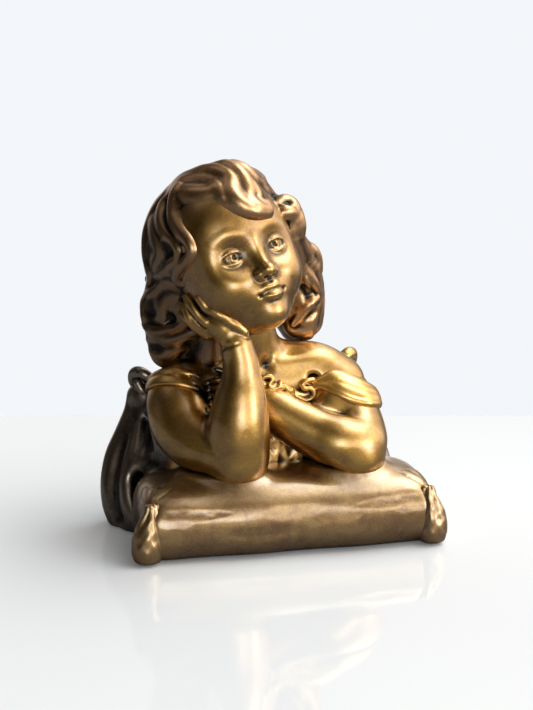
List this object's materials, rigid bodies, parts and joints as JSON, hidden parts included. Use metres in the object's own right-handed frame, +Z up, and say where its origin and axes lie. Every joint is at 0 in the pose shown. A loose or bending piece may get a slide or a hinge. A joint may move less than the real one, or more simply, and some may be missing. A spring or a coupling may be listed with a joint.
{
  "type": "resin cherub bust figurine",
  "caption": "Bronze-painted resin bust of a cherub child that leans on a tasselled cushion, cheek in hand and arms crossed, in an off-shoulder gown.",
  "frame": {"origin": "on the table, under the middle of the cushion's width, at the underside of the felt", "axes": "+X to the figure's own left, +Y to its back, +Z up; the cushion's front faces -Y"},
  "size_m": [0.152, 0.0991, 0.1768],
  "materials": {
    "skin_bronze": "satin metallic bronze paint, rubbed bright on the raised skin",
    "cushion_bronze": "satin metallic bronze paint with dark wash in the puckers",
    "gown_bronze": "dark bronze paint, brighter on the ridges of the folds",
    "hair_bronze": "dark bronze paint with blackened grooves and rubbed locks",
    "dowel": "plain dowel, glued in",
    "base_board": "plain board",
    "felt": "green felt"
  },
  "bodies": {
    "root": {"cushion": "cushion_bronze", "right_corner_tuft": "cushion_bronze", "left_corner_tuft": "cushion_bronze", "gown": "gown_bronze", "torso": "skin_bronze", "head": "skin_bronze", "hair": "hair_bronze", "right_arm": "skin_bronze", "left_arm": "skin_bronze", "right_sleeve": "gown_bronze", "left_sleeve": "gown_bronze", "neckline_ruffle": "gown_bronze", "right_shoulder_knot": "gown_bronze", "left_shoulder_knot": "gown_bronze", "neck_peg": "dowel", "shoulder_pegs": "dowel", "base_plate": "base_board", "felt_base": "felt"}
  },
  "joints": []
}
